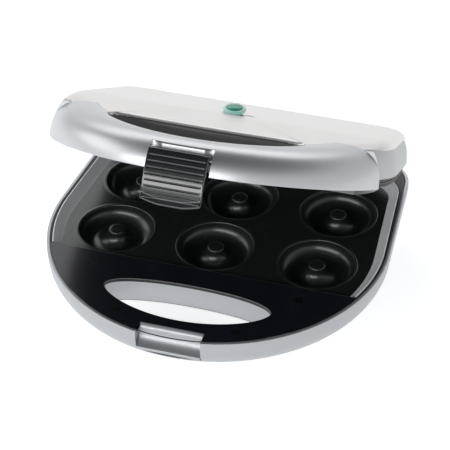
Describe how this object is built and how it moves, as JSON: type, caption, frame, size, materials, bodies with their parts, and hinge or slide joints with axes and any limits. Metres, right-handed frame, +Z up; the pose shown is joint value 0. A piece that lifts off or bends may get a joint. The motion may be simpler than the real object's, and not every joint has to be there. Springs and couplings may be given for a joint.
{
  "type": "donut maker",
  "caption": "Hinged electric donut maker with ring cavities in both plates, D-shaped silver body, finger opening in the front, front latch and indicator lamp.",
  "frame": {"origin": "centre of the whole object's box in plan, on the plane that the feet stand on", "axes": "+Z up, the latch and the handle face -Y, the hinge runs along X at the rear"},
  "size_m": [0.238, 0.2378, 0.1675],
  "materials": {
    "silver_lid": "satin metallic silver paint",
    "pale_silver": "satin pale silver paint",
    "silver_base": "satin metallic silver paint",
    "silver_skirt": "satin grey silver",
    "bezel": "bright satin strip",
    "black_cover": "fine satin",
    "black_frame": "fine satin",
    "non_stick": "glossy black non-stick coating",
    "latch_black": "high gloss",
    "steel": "zinc plated",
    "black_steel": "blackened",
    "heater_sheath": "heat-dulled",
    "reflector": "bright rolled sheet",
    "rubber": "matte",
    "ivory_plastic": "heat-proof moulding",
    "lead": "silicone sleeve",
    "mint": "translucent",
    "green_lens": "clear tinted",
    "lamp_glass": "clear"
  },
  "bodies": {
    "base": {"base_shell": "silver_base", "base_frame": "black_frame", "base_bezel": "bezel", "handle_cover": "black_cover", "handle_cover_screws": "black_steel", "latch_catch": "silver_base", "lower_baking_plate": "non_stick", "lower_heater": "heater_sheath", "lower_heater_clips": "steel", "lower_plate_screws": "steel", "lower_reflector": "reflector", "base_screws": "steel", "feet": "rubber", "foot_screws": "steel", "hinge_pins": "steel", "cord_gland": "rubber", "terminal_block": "ivory_plastic", "thermal_fuse": "steel", "base_leads": "lead"},
    "lid": {"lid_front_shell": "silver_lid", "lid_top_cover": "pale_silver", "lid_side_skirt": "silver_skirt", "lid_frame": "black_frame", "lid_screws": "steel", "upper_handle_cover": "black_cover", "upper_handle_cover_screws": "black_steel", "upper_baking_plate": "non_stick", "upper_heater": "heater_sheath", "upper_heater_clips": "steel", "upper_plate_screws": "steel", "upper_reflector": "reflector", "thermostat": "ivory_plastic", "lid_leads": "lead", "lamp_bezel": "mint", "lamp_lens": "green_lens", "lamp_holder": "ivory_plastic", "neon_lamp": "lamp_glass", "latch_pin": "steel"},
    "latch": {"latch": "latch_black"}
  },
  "joints": [
    {"name": "lid_hinge", "type": "hinge", "parent": "base", "child": "lid", "pos_m": [0, 0.109, 0.0464], "axis": [-1, 0, 0], "range_deg": [-29.5, 65]},
    {"name": "latch_pivot", "type": "hinge", "parent": "lid", "child": "latch", "pos_m": [0, -0.08214, 0.16143], "axis": [-1, 0, 0], "range_deg": [-6, 24]}
  ]
}
